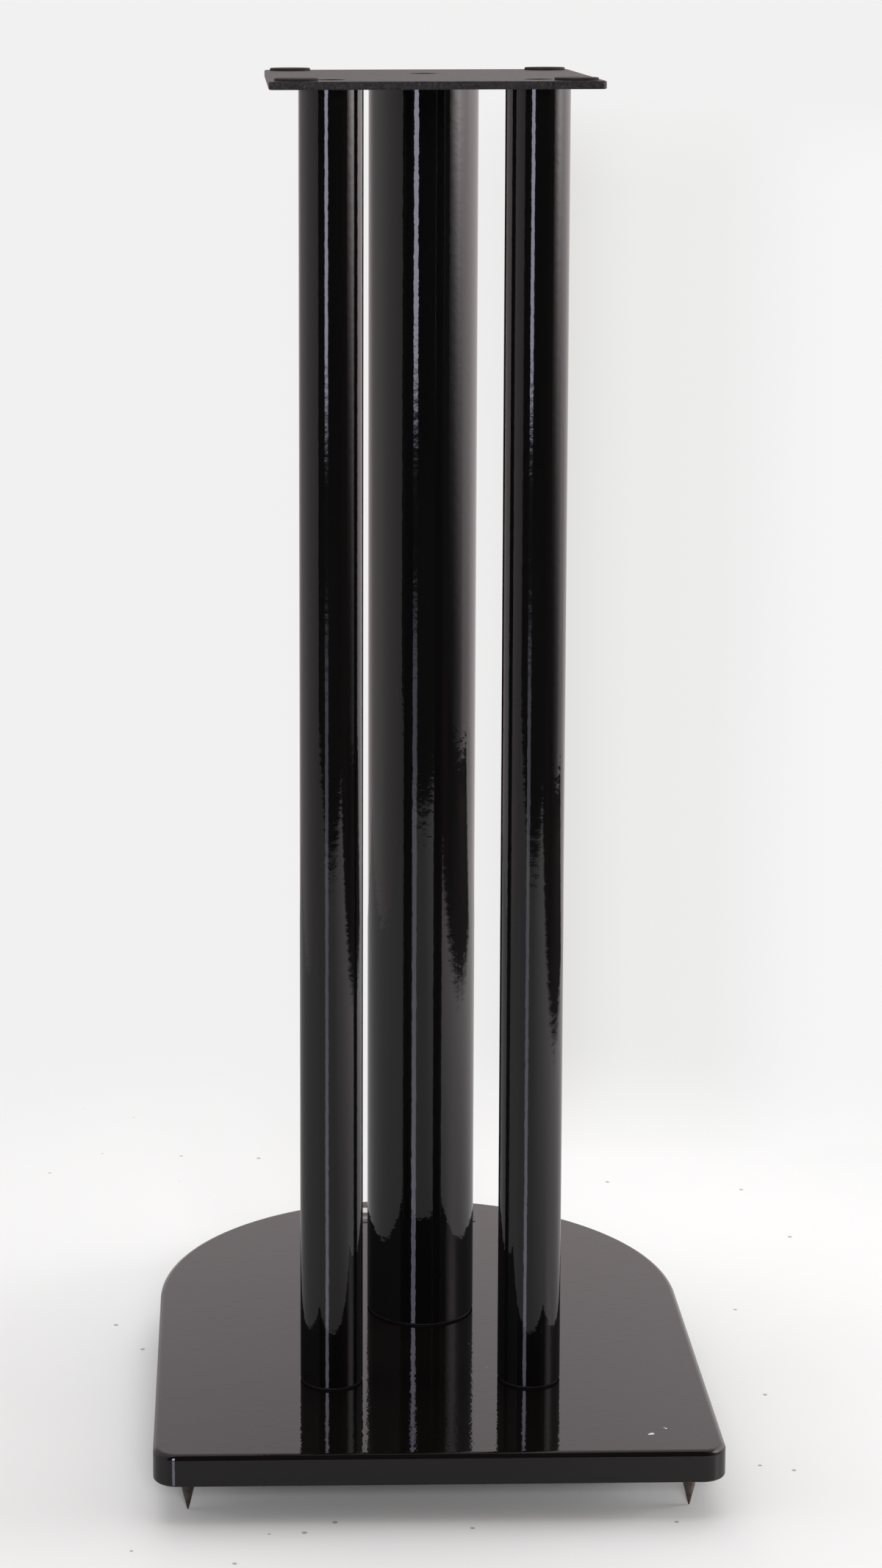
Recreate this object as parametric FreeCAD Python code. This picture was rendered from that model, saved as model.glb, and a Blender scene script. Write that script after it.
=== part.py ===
import FreeCAD
import Part
import math
import os

# A speaker stand: three round columns between a D-shaped base board on four
# levelling spikes and a small steel plate that carries the speaker.
# Millimetres. +Z is up, +X is to the right seen from the front, -Y is the front.
# The origin is on the floor, under the middle of the base board.

# Base board
base_width = 282.0
base_straight_depth = 207.0
base_thickness = 16.0
base_front_corner_radius = 12.0
base_top_edge_radius = 3.0
base_bottom_edge_radius = 1.0

# Columns
front_column_diameter = 32.0
front_column_wall = 1.5
rear_column_diameter = 57.0
rear_column_wall = 2.0
column_length = 660.0
front_column_spacing = 101.4
front_column_inset = 92.0
rear_column_setback = 95.0

# End plugs and foot gaskets of the columns
top_plug_height = 14.0
foot_plug_height = 18.0
plug_fit = 0.05
gasket_thickness = 1.0
gasket_shadow_inset = 0.4

# Top plate
plate_width = 163.0
plate_depth = 196.0
plate_thickness = 4.0
plate_front_overhang = 28.0
plate_corner_radius = 3.0
plate_edge_radius = 0.8

# Round pads on the top plate
pad_diameter = 21.5
pad_thickness = 1.4
pad_edge_radius = 0.4
pad_edge_distance = 2.8

# Countersunk screws of the top plate
screw_diameter = 8.0
screw_length = 16.0
screw_head_diameter = 14.0
screw_socket_across_flats = 5.0
screw_socket_depth = 2.5

# Bolts and washers that hold the columns to the base board
bolt_diameter = 8.0
bolt_length = 25.0
bolt_head_across_flats = 13.0
bolt_head_height = 5.3
bolt_head_recess = 0.7
washer_diameter = 24.0
washer_thickness = 2.0
counterbore_clearance = 1.0

# Clearances of the fasteners
thread_fit = 0.05
hole_clearance = 0.2

# Levelling spikes, their lock nuts and their threaded inserts
spike_diameter = 8.0
spike_point_length = 15.0
spike_tip_diameter = 0.8
spike_engagement = 11.5
spike_side_inset = 17.0
spike_front_inset = 17.0
rear_spike_edge_inset = 24.0
rear_spike_angle = 48.0
lock_nut_across_flats = 13.0
lock_nut_height = 4.0
insert_diameter = 12.0
insert_length = 12.0
insert_fit = 0.05

# Plain label near the back edge of the base board
label_width = 78.0
label_depth = 28.0
label_thickness = 0.3
label_corner_radius = 1.5
label_back_inset = 10.0

# Levels, from the floor up
base_bottom = spike_point_length + lock_nut_height
base_top = base_bottom + base_thickness
column_foot = base_top + gasket_thickness
column_top = column_foot + column_length
plate_top = column_top + plate_thickness

# Places in plan
base_back_radius = base_width / 2
base_depth = base_straight_depth + base_back_radius
base_front = -base_depth / 2
base_back = base_depth / 2
back_arc_centre = base_front + base_straight_depth
front_columns_y = base_front + front_column_inset
rear_column_y = front_columns_y + rear_column_setback
plate_front = front_columns_y - plate_front_overhang
plate_back = plate_front + plate_depth

columns = {
    "front_left": (-front_column_spacing / 2, front_columns_y, front_column_diameter, front_column_wall),
    "front_right": (front_column_spacing / 2, front_columns_y, front_column_diameter, front_column_wall),
    "rear": (0.0, rear_column_y, rear_column_diameter, rear_column_wall),
}

rear_spike_reach = base_back_radius - rear_spike_edge_inset
rear_spike_x = rear_spike_reach * math.cos(math.radians(rear_spike_angle))
rear_spike_y = back_arc_centre + rear_spike_reach * math.sin(math.radians(rear_spike_angle))
front_spike_x = base_width / 2 - spike_side_inset
front_spike_y = base_front + spike_front_inset
spikes = {
    "front_left": (-front_spike_x, front_spike_y),
    "front_right": (front_spike_x, front_spike_y),
    "rear_left": (-rear_spike_x, rear_spike_y),
    "rear_right": (rear_spike_x, rear_spike_y),
}

pad_inset = pad_edge_distance + pad_diameter / 2
pads = {
    "front_left": (pad_inset - plate_width / 2, plate_front + pad_inset),
    "front_right": (plate_width / 2 - pad_inset, plate_front + pad_inset),
    "rear_left": (pad_inset - plate_width / 2, plate_back - pad_inset),
    "rear_right": (plate_width / 2 - pad_inset, plate_back - pad_inset),
}

# How far the cutting tools run past the faces that they open
overrun = 1.0


def cylinder(x, y, z, diameter, height):
    return Part.makeCylinder(diameter / 2, height, FreeCAD.Vector(x, y, z))


def hexagon(x, y, z, across_flats, height):
    corner_radius = across_flats / math.sqrt(3)
    corners = []
    for number in range(7):
        turn = math.radians(60 * number)
        corners.append(FreeCAD.Vector(x + corner_radius * math.cos(turn), y + corner_radius * math.sin(turn), z))
    return Part.Face(Part.makePolygon(corners)).extrude(FreeCAD.Vector(0, 0, height))


def rounded_block(left, front, right, back, corner_radius, z, height):
    block = Part.makeBox(right - left, back - front, height, FreeCAD.Vector(left, front, z))
    upright = [edge for edge in block.Edges if abs(edge.BoundBox.ZLength - height) < 1e-6]
    return block.makeFillet(corner_radius, upright)


def edges_at(shape, z):
    return [edge for edge in shape.Edges if abs(edge.BoundBox.ZMin - z) < 1e-6 and abs(edge.BoundBox.ZMax - z) < 1e-6]


def save(node, pieces):
    shape = pieces[0] if len(pieces) == 1 else Part.makeCompound(pieces)
    shape.exportStep("parts/" + node + ".step")
    print(node, len(shape.Solids), "solid", round(shape.Volume / 1000, 2), "cm3")


def board_blank():
    half = base_width / 2
    corner = base_front_corner_radius
    lean = corner * (1 - math.sqrt(0.5))
    front = base_front
    arc_start = back_arc_centre

    def point(x, y):
        return FreeCAD.Vector(x, y, base_bottom)

    outline = [
        Part.LineSegment(point(corner - half, front), point(half - corner, front)),
        Part.Arc(point(half - corner, front), point(half - lean, front + lean), point(half, front + corner)),
        Part.LineSegment(point(half, front + corner), point(half, arc_start)),
        Part.Arc(point(half, arc_start), point(0, base_back), point(-half, arc_start)),
        Part.LineSegment(point(-half, arc_start), point(-half, front + corner)),
        Part.Arc(point(-half, front + corner), point(lean - half, front + lean), point(corner - half, front)),
    ]
    wire = Part.Wire([curve.toShape() for curve in outline])
    blank = Part.Face(wire).extrude(FreeCAD.Vector(0, 0, base_thickness))
    blank = blank.makeFillet(base_top_edge_radius, edges_at(blank, base_top))
    return blank.makeFillet(base_bottom_edge_radius, edges_at(blank, base_bottom))


def base_board():
    board = board_blank()
    counterbore_depth = washer_thickness + bolt_head_height + bolt_head_recess
    for x, y, diameter, wall in columns.values():
        hole = cylinder(x, y, base_bottom - overrun, bolt_diameter + 2 * hole_clearance, base_thickness + 2 * overrun)
        counterbore = cylinder(x, y, base_bottom - overrun, washer_diameter + counterbore_clearance,
                               counterbore_depth + overrun)
        board = board.cut(hole).cut(counterbore)
    for x, y in spikes.values():
        socket = cylinder(x, y, base_bottom - overrun, insert_diameter + 2 * insert_fit, insert_length + overrun)
        board = board.cut(socket)
    return board


def column(x, y, diameter, wall):
    outside = cylinder(x, y, column_foot, diameter, column_length)
    inside = cylinder(x, y, column_foot - overrun, diameter - 2 * wall, column_length + 2 * overrun)
    return outside.cut(inside)


def plug(x, y, z, diameter, wall, height, thread_diameter):
    body = cylinder(x, y, z, diameter - 2 * wall - 2 * plug_fit, height)
    thread = cylinder(x, y, z - overrun, thread_diameter + 2 * thread_fit, height + 2 * overrun)
    return body.cut(thread)


def foot_gasket(x, y, diameter):
    ring = cylinder(x, y, base_top, diameter - 2 * gasket_shadow_inset, gasket_thickness)
    hole = cylinder(x, y, base_top - overrun, bolt_diameter + 2 * hole_clearance, gasket_thickness + 2 * overrun)
    return ring.cut(hole)


def countersink(x, y, head_diameter, shank_diameter, shank_length):
    head_height = (head_diameter - shank_diameter) / 2
    cone = Part.makeCone(shank_diameter / 2, head_diameter / 2, head_height,
                         FreeCAD.Vector(x, y, plate_top - head_height))
    shank = cylinder(x, y, plate_top - shank_length, shank_diameter, shank_length - head_height)
    return cone.fuse(shank).removeSplitter()


def top_plate():
    half = plate_width / 2
    plate = rounded_block(-half, plate_front, half, plate_back, plate_corner_radius, column_top, plate_thickness)
    plate = plate.makeFillet(plate_edge_radius, edges_at(plate, plate_top) + edges_at(plate, column_top))
    for x, y, diameter, wall in columns.values():
        hole = countersink(x, y, screw_head_diameter + 2 * hole_clearance, screw_diameter + 2 * hole_clearance,
                           plate_thickness + overrun)
        plate = plate.cut(hole)
    return plate


def plate_screw(x, y):
    screw = countersink(x, y, screw_head_diameter, screw_diameter, screw_length)
    socket = hexagon(x, y, plate_top - screw_socket_depth, screw_socket_across_flats, screw_socket_depth + overrun)
    return screw.cut(socket)


def washer(x, y):
    roof = base_bottom + bolt_head_recess + bolt_head_height
    disc = cylinder(x, y, roof, washer_diameter, washer_thickness)
    return disc.cut(cylinder(x, y, roof - overrun, bolt_diameter + 2 * hole_clearance, washer_thickness + 2 * overrun))


def base_bolt(x, y):
    head_bottom = base_bottom + bolt_head_recess
    head = hexagon(x, y, head_bottom, bolt_head_across_flats, bolt_head_height)
    shank = cylinder(x, y, head_bottom + bolt_head_height, bolt_diameter, bolt_length)
    return head.fuse(shank).removeSplitter()


def pad(x, y):
    disc = cylinder(x, y, plate_top, pad_diameter, pad_thickness)
    return disc.makeFillet(pad_edge_radius, edges_at(disc, plate_top + pad_thickness))


def spike(x, y):
    point = Part.makeCone(spike_tip_diameter / 2, spike_diameter / 2, spike_point_length, FreeCAD.Vector(x, y, 0))
    stud = cylinder(x, y, spike_point_length, spike_diameter, lock_nut_height + spike_engagement)
    return point.fuse(stud).removeSplitter()


def lock_nut(x, y):
    nut = hexagon(x, y, spike_point_length, lock_nut_across_flats, lock_nut_height)
    bore = cylinder(x, y, spike_point_length - overrun, spike_diameter + 2 * thread_fit, lock_nut_height + 2 * overrun)
    return nut.cut(bore)


def threaded_insert(x, y):
    sleeve = cylinder(x, y, base_bottom, insert_diameter, insert_length)
    bore = cylinder(x, y, base_bottom - overrun, spike_diameter + 2 * thread_fit, insert_length + 2 * overrun)
    return sleeve.cut(bore)


def rear_label():
    back = base_back - label_back_inset
    half = label_width / 2
    return rounded_block(-half, back - label_depth, half, back, label_corner_radius, base_top, label_thickness)


os.makedirs("parts", exist_ok=True)
save("base_board", [base_board()])
save("top_plate", [top_plate()])
save("rear_label", [rear_label()])

for place, (x, y, diameter, wall) in columns.items():
    top_plug_z = column_top - top_plug_height
    save("column_" + place, [column(x, y, diameter, wall)])
    save("top_plug_" + place, [plug(x, y, top_plug_z, diameter, wall, top_plug_height, screw_diameter)])
    save("foot_plug_" + place, [plug(x, y, column_foot, diameter, wall, foot_plug_height, bolt_diameter)])
    save("foot_gasket_" + place, [foot_gasket(x, y, diameter)])

column_centres = [(x, y) for x, y, diameter, wall in columns.values()]
save("plate_screws", [plate_screw(x, y) for x, y in column_centres])
save("base_washers", [washer(x, y) for x, y in column_centres])
save("base_bolts", [base_bolt(x, y) for x, y in column_centres])

for place, (x, y) in pads.items():
    save("pad_" + place, [pad(x, y)])

for place, (x, y) in spikes.items():
    save("spike_" + place, [spike(x, y)])
    save("lock_nut_" + place, [lock_nut(x, y)])
    save("spike_insert_" + place, [threaded_insert(x, y)])
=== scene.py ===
import math

import bpy
from mathutils import Matrix, Vector
from mathutils.geometry import tessellate_polygon


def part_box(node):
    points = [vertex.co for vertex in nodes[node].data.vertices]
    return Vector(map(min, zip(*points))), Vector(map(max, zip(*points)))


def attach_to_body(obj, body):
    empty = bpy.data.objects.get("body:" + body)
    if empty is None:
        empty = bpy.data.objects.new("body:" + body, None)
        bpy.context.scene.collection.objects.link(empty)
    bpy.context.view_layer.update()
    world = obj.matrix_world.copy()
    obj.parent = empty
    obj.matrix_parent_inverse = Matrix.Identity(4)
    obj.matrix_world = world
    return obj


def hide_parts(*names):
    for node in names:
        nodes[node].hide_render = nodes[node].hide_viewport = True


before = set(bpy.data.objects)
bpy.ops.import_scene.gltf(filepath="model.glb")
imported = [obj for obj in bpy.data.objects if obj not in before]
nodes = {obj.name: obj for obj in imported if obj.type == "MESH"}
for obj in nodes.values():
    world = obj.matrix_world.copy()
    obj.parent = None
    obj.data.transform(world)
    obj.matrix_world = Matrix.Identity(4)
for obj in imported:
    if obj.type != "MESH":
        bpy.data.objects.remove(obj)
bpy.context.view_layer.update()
mm = 0.001
columnPlaces = ("front_left", "front_right", "rear")
cornerPlaces = ("front_left", "front_right", "rear_left", "rear_right")
print("frame loaded:", len(nodes), "nodes")


def rgb(hexText):
    # sRGB hex to the linear colour that the sockets want
    channels = [int(hexText[i:i + 2], 16) / 255 for i in (1, 3, 5)]
    return (*(c / 12.92 if c <= 0.04045 else ((c + 0.055) / 1.055) ** 2.4 for c in channels), 1.0)


def grey(level):
    return (level, level, level, 1.0)


def put(tree, kind, sockets=None, **settings):
    # adds a node and gives its outputs: a socket is linked, a list of sockets one after the other, and
    # anything else is set on the input itself
    made = tree.nodes.new(kind)
    for name, value in settings.items():
        setattr(made, name, value)
    for key, value in (sockets or {}).items():
        sources = value if isinstance(value, list) else [value]
        if isinstance(sources[0], bpy.types.NodeSocket):
            for source in sources:
                tree.links.new(source, made.inputs[key])
        else:
            made.inputs[key].default_value = value
    return made.outputs


def newObject(name, mesh):
    made = bpy.data.objects.new(name, mesh)
    bpy.context.scene.collection.objects.link(made)
    return made


def plainMesh(name, points, polygons=()):
    mesh = bpy.data.meshes.new(name)
    mesh.from_pydata([tuple(p) for p in points], [], list(polygons))
    return mesh


def boxOf(nodeName):
    # middle in plan, radius, bottom and top of an upright round CAD node
    low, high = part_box(nodeName)
    return (low.x + high.x) / 2, (low.y + high.y) / 2, (high.x - low.x) / 2, low.z, high.z


# Camera at the photograph's height and angle: metres, degrees, millimetres of lens
camera = {"place": (-0.1, -1.7492, 0.7542), "lookDown": 7.891, "turn": -0.896, "roll": -0.142, "lens": 78.06,
          "shift": (0.1, -0.22)}


def setCamera():
    data = bpy.data.cameras.new("camera")
    data.lens = camera["lens"]
    data.shift_x, data.shift_y = camera["shift"]
    made = newObject("camera", data)
    made.location = camera["place"]
    turn, tilt, roll = (math.radians(d) for d in (camera["turn"], 90 - camera["lookDown"], camera["roll"]))
    aim = Matrix.Rotation(turn, 3, "Z") @ Matrix.Rotation(tilt, 3, "X") @ Matrix.Rotation(roll, 3, "Z")
    made.rotation_euler = aim.to_euler()
    bpy.context.scene.camera = made
    bpy.context.scene.view_settings.view_transform = "Standard"


setCamera()
print("camera set")

# Studio: a white floor sheet in a room that is dark in front, with a tall window on the right, a narrow one
# at the front left and white walls on the left and behind, all of them seen only as reflections. Metres.
# The paper ends at a ragged edge in front and on the right, which only mirrors see; camera rays see it
# hand over to the even background from farFrom to farTo
paper = {
    "half": 20.0, "tone": "#efefef", "background": "#f2f1f1", "dark": "#3a3432",
    "front": -1.25, "right": 0.74, "back": 0.48, "edge": 0.05, "frayScale": 9.0,
    "sheen": 0.5, "sheenTone": 0.4, "sheenRoughness": 0.09,
    # glow: painted light on the sheet, growing towards the window, seen only by mirrors
    "glow": 0.7, "glowTone": "#fff4f4", "glowFrom": 0.05, "glowTo": 0.8, "farFrom": 0.28, "farTo": 0.62,
}
# small grey specks in some cells of a Voronoi pattern
dust = {"scale": 60.0, "radius": 0.08, "bareShare": 0.87, "strength": 0.6, "tone": "#6f6b68"}
# a long soft painted shadow on the paper behind the stand, as thrown by a light in front: where that light
# stands in plan, and the paper's tone by direction from it (metres to the right for each metre back)
shade = {
    "light": (-0.1, -1.75), "start": 0.34, "soft": 0.03, "full": 10.0, "end": 18.0,
    "tones": [(0.0, "#f1f1f1"), (0.075, "#eeeded"), (0.1, "#e2e1e0"), (0.112, "#e9e9e8"), (0.12, "#ececeb"),
              (0.145, "#ededec"), (0.157, "#f0f0f0"), (0.17, "#f4f4f4"), (0.185, "#f6f6f6")],
}
# the room's tone by compass bearing (0 is the front, + is to the right) and its level as light
room = {
    "level": 0.9,
    "tones": [(-180, "#f1efef"), (-60, "#efeded"), (-50, "#d8d5d6"), (-47.5, "#4a4747"), (-44, "#3c3838"),
              (0, "#3a3636"), (33, "#453c38"), (44, "#7a6a60"), (60, "#8a7b72"), (66, "#c8c4c2"),
              (104, "#f1efef"), (180, "#f1efef")],
}
# the narrow window: its light fades in over the lowest part and grows upward
slitWindow = {"place": (-0.957, -2.843), "width": 0.58, "low": 0.08, "high": 2.4, "tone": "#ece7ff",
              "level": 6.5, "fade": 0.17, "growFrom": 0.6, "growTo": 1.3, "growth": 2.2}
# the walls' line in plan, and what they give off by compass bearing: high up, at the floor, and the share
# that is left when tube and board mirror it one after the other, which turns polarised light away
walls = {
    "plan": [(-0.9, -0.86), (-0.9, 0.9), (1.35, 0.9), (1.5, 0.5), (1.5, -1.1)], "high": 2.0,
    "tone": "#fff4f6", "upFrom": 0.08, "upTo": 0.63, "most": 8.0,
    "levels": [
        (-180, 0.75, 1.15, 0.3), (-165, 0.85, 1.15, 0.2), (-155, 0.8, 0.85, 0.2), (-130, 0.65, 0.65, 0.15),
        (-100, 0.83, 0.8, 0.22), (-80, 0.72, 0.65, 0.35), (-60, 0.6, 0.55, 0.55), (-45, 0.5, 0.45, 0.7),
        (52, 0.3, 0.05, 1.0), (57, 0.9, 0.06, 1.0), (66, 3.1, 0.09, 0.9), (76, 4.9, 0.25, 0.6),
        (86, 3.6, 0.5, 0.27), (97, 2.7, 1.2, 0.18), (110, 2.6, 1.2, 0.13), (125, 1.97, 1.45, 0.13),
        (147, 1.19, 1.14, 0.2), (180, 0.75, 1.15, 0.3),
    ],
}
# soft square lamps: place, side and watts
lamps = {
    "overhead": ((0.1, 0.7, 2.2), 2.4, 18.7),
    "right": ((1.8, -0.1, 0.45), 0.8, 8.4),
    "lowRight": ((1.3, 0.1, 0.25), 0.5, 6.0),
    "lowLeft": ((-1.6, -0.1, 0.45), 0.8, 4.2),
    "front": ((0.1, -2.9, 1.3), 0.8, 34.2),
    "lowBack": ((-0.15, 2.6, 0.75), 0.6, 12.0),
}
lampTarget = (0, 0, 0.1)


def withStops(colour, stops, interpolation="LINEAR"):
    # fills the colour ramp that gives this colour: (position, colour) from left to right
    ramp = colour.node.color_ramp
    ramp.interpolation = interpolation
    while len(ramp.elements) < len(stops):
        ramp.elements.new(1.0)
    for element, (position, tone) in zip(ramp.elements, stops):
        element.position = position
        element.color = tone
    return colour


def aroundShare(degrees):
    # a bearing as a share of the full turn, 0.5 at the front
    return (degrees + 180) / 360


def bearingShare(tree, place):
    # the same for the compass bearing of a place
    split = put(tree, "ShaderNodeSeparateXYZ", {0: place})
    ahead = put(tree, "ShaderNodeMath", {0: split["Y"], 1: -1.0}, operation="MULTIPLY")[0]
    bearing = put(tree, "ShaderNodeMath", {0: split["X"], 1: ahead}, operation="ARCTAN2")[0]
    return put(tree, "ShaderNodeMapRange", {0: bearing, 1: -math.pi, 2: math.pi})[0]


def newTreeFor(name):
    made = bpy.data.materials.new(name)
    made.use_nodes = True
    tree = made.node_tree
    tree.nodes.clear()
    return made, tree, put(tree, "ShaderNodeTexCoord")["Object"]


def paperTone(tree, place, split, path):
    # white paper with dust for the camera and the lamps; to a mirror it ends at its edges, in the dark
    edge = paper["edge"]
    fray = put(tree, "ShaderNodeTexNoise", {"Vector": place, "Scale": paper["frayScale"], "Detail": 3.0})[0]
    ragged = put(tree, "ShaderNodeMapRange", {0: fray, 3: -edge, 4: edge})[0]
    inside = []
    for axis, border, side in (("Y", paper["front"], edge), ("X", paper["right"], -edge)):
        along = put(tree, "ShaderNodeMath", {0: split[axis], 1: ragged}, operation="ADD")[0]
        inside.append(put(tree, "ShaderNodeMapRange", {0: along, 1: border - side, 2: border + side})[0])
    isBack = put(tree, "ShaderNodeMapRange", {0: split["Y"], 1: paper["back"] - edge,
                                              2: paper["back"] + edge})[0]
    onSide = put(tree, "ShaderNodeMath", {0: inside[1], 1: isBack}, operation="MAXIMUM")[0]
    onSheet = put(tree, "ShaderNodeMath", {0: inside[0], 1: onSide}, operation="MULTIPLY")[0]
    notMirrored = put(tree, "ShaderNodeMath", {0: 1.0, 1: path["Is Glossy Ray"]}, operation="SUBTRACT")[0]
    isPaper = put(tree, "ShaderNodeMath", {0: onSheet, 1: notMirrored}, operation="MAXIMUM")[0]
    tone = put(tree, "ShaderNodeMix", {"Factor": isPaper, 6: rgb(paper["dark"]), 7: rgb(paper["tone"])},
               data_type="RGBA")[2]
    cells = put(tree, "ShaderNodeTexVoronoi", {"Vector": place, "Scale": dust["scale"]})
    isSpeck = put(tree, "ShaderNodeMath", {0: cells["Distance"], 1: dust["radius"]}, operation="LESS_THAN")[0]
    lot = put(tree, "ShaderNodeSeparateColor", {0: cells["Color"]})[0]
    isDusty = put(tree, "ShaderNodeMath", {0: lot, 1: dust["bareShare"]}, operation="GREATER_THAN")[0]
    speck = put(tree, "ShaderNodeMath", {0: isSpeck, 1: isDusty}, operation="MULTIPLY")[0]
    speckShare = put(tree, "ShaderNodeMath", {0: speck, 1: dust["strength"]}, operation="MULTIPLY")[0]
    tone = put(tree, "ShaderNodeMix", {"Factor": speckShare, 6: tone, 7: rgb(dust["tone"])},
               data_type="RGBA")[2]
    return tone, onSheet


def paperBehindWithPaintedShadow(tree, split):
    # the paper behind: even, with a painted soft shadow across it
    right = put(tree, "ShaderNodeMath", {0: split["X"], 1: shade["light"][0]}, operation="SUBTRACT")[0]
    back = put(tree, "ShaderNodeMath", {0: split["Y"], 1: shade["light"][1]}, operation="SUBTRACT")[0]
    course = put(tree, "ShaderNodeMath", {0: right, 1: back}, operation="DIVIDE")[0]
    most = shade["tones"][-1][0]
    share = put(tree, "ShaderNodeMapRange", {0: course, 1: 0.0, 2: most})[0]
    tones = withStops(put(tree, "ShaderNodeValToRGB", {"Fac": share})["Color"],
                      [(position / most, rgb(tone)) for position, tone in shade["tones"]])
    start = shade["start"]
    near = put(tree, "ShaderNodeMapRange", {0: split["Y"], 1: start, 2: start + shade["soft"]})[0]
    end = put(tree, "ShaderNodeMapRange", {0: split["Y"], 1: shade["end"], 2: shade["full"]})[0]
    shown = put(tree, "ShaderNodeMath", {0: near, 1: end}, operation="MULTIPLY")[0]
    return put(tree, "ShaderNodeMix", {"Factor": shown, 6: rgb(paper["background"]), 7: tones},
               data_type="RGBA")[2]


def floorMaterial():
    made, tree, place = newTreeFor("whitePaperFloor")
    split = put(tree, "ShaderNodeSeparateXYZ", {0: place})
    path = put(tree, "ShaderNodeLightPath")
    tone, onSheet = paperTone(tree, place, split, path)
    matt = put(tree, "ShaderNodeBsdfDiffuse", {"Color": tone})[0]
    sheen = put(tree, "ShaderNodeBsdfGlossy", {"Color": grey(paper["sheenTone"]),
                                               "Roughness": paper["sheenRoughness"]})[0]
    sheenShare = put(tree, "ShaderNodeMath", {0: path["Is Glossy Ray"], 1: paper["sheen"]},
                     operation="MULTIPLY")[0]
    surface = put(tree, "ShaderNodeMixShader", {0: sheenShare, 1: matt, 2: sheen})[0]
    # painted light: towards the window the sheet glows brighter, as if lit by it, outside the picture; only
    # mirrors see it
    glow = put(tree, "ShaderNodeMapRange", {0: split["X"], 1: paper["glowFrom"], 2: paper["glowTo"],
                                            4: paper["glow"]})[0]
    glow = put(tree, "ShaderNodeMath", {0: glow, 1: onSheet}, operation="MULTIPLY")[0]
    glow = put(tree, "ShaderNodeMath", {0: glow, 1: path["Is Glossy Ray"]}, operation="MULTIPLY")[0]
    paintedWindowGlow = put(tree, "ShaderNodeEmission", {"Color": rgb(paper["glowTone"]), "Strength": glow})[0]
    surface = put(tree, "ShaderNodeAddShader", {0: surface, 1: paintedWindowGlow})[0]
    # far from the object the floor runs into the even background, which holds the painted shadow
    reach = put(tree, "ShaderNodeVectorMath", {0: place}, operation="LENGTH")["Value"]
    far = put(tree, "ShaderNodeMapRange", {0: reach, 1: paper["farFrom"], 2: paper["farTo"]},
              interpolation_type="SMOOTHSTEP")[0]
    farSeen = put(tree, "ShaderNodeMath", {0: far, 1: path["Is Camera Ray"]}, operation="MULTIPLY")[0]
    even = put(tree, "ShaderNodeEmission", {"Color": paperBehindWithPaintedShadow(tree, split)})[0]
    surface = put(tree, "ShaderNodeMixShader", {0: farSeen, 1: surface, 2: even})[0]
    put(tree, "ShaderNodeOutputMaterial", {"Surface": surface})
    return made


def setRoom():
    # what stands round the sheet; the camera sees the even background instead
    world = bpy.data.worlds.new("room")
    world.use_nodes = True
    tree = world.node_tree
    tree.nodes.clear()
    share = bearingShare(tree, put(tree, "ShaderNodeTexCoord")["Generated"])
    around = withStops(put(tree, "ShaderNodeValToRGB", {"Fac": share})["Color"],
                       [(aroundShare(degrees), rgb(tone)) for degrees, tone in room["tones"]])
    isSeen = put(tree, "ShaderNodeLightPath")["Is Camera Ray"]
    tone = put(tree, "ShaderNodeMix", {"Factor": isSeen, 6: around, 7: rgb(paper["background"])},
               data_type="RGBA")[2]
    level = put(tree, "ShaderNodeMapRange", {0: isSeen, 3: room["level"], 4: 1.0})[0]
    glow = put(tree, "ShaderNodeBackground", {"Color": tone, "Strength": level})[0]
    put(tree, "ShaderNodeOutputWorld", {"Surface": glow})
    bpy.context.scene.world = world


def stageCard(made, tree, corners, tone, strength):
    # glowing upright faces from pairs of corners, seen only by mirrors
    glow = put(tree, "ShaderNodeEmission", {"Color": rgb(tone), "Strength": strength})[0]
    put(tree, "ShaderNodeOutputMaterial", {"Surface": glow})
    faces = [(i, i + 1, i + 3, i + 2) for i in range(0, len(corners) - 2, 2)]
    piece = newObject(made.name, plainMesh(made.name, corners, faces))
    piece.data.materials.append(made)
    piece.visible_camera = False
    piece.visible_shadow = False
    piece.visible_diffuse = False


def setSlitWindow():
    # an upright card that faces the columns
    made, tree, place = newTreeFor("slitWindow")
    low, high = slitWindow["low"], slitWindow["high"]
    height = put(tree, "ShaderNodeSeparateXYZ", {0: place})["Z"]
    rise = put(tree, "ShaderNodeMapRange", {0: height, 1: low, 2: low + slitWindow["fade"],
                                            4: slitWindow["level"]}, interpolation_type="SMOOTHSTEP")[0]
    more = put(tree, "ShaderNodeMapRange", {0: height, 1: slitWindow["growFrom"], 2: slitWindow["growTo"],
                                            3: 1.0, 4: slitWindow["growth"]})[0]
    strength = put(tree, "ShaderNodeMath", {0: rise, 1: more}, operation="MULTIPLY")[0]
    foot = Vector((*slitWindow["place"], 0))
    side = Vector((-foot.y, foot.x, 0)).normalized() * slitWindow["width"] / 2
    corners = [foot + side * sign + Vector((0, 0, z)) for sign in (-1, 1) for z in (low, high)]
    stageCard(made, tree, corners, slitWindow["tone"], strength)


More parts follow.
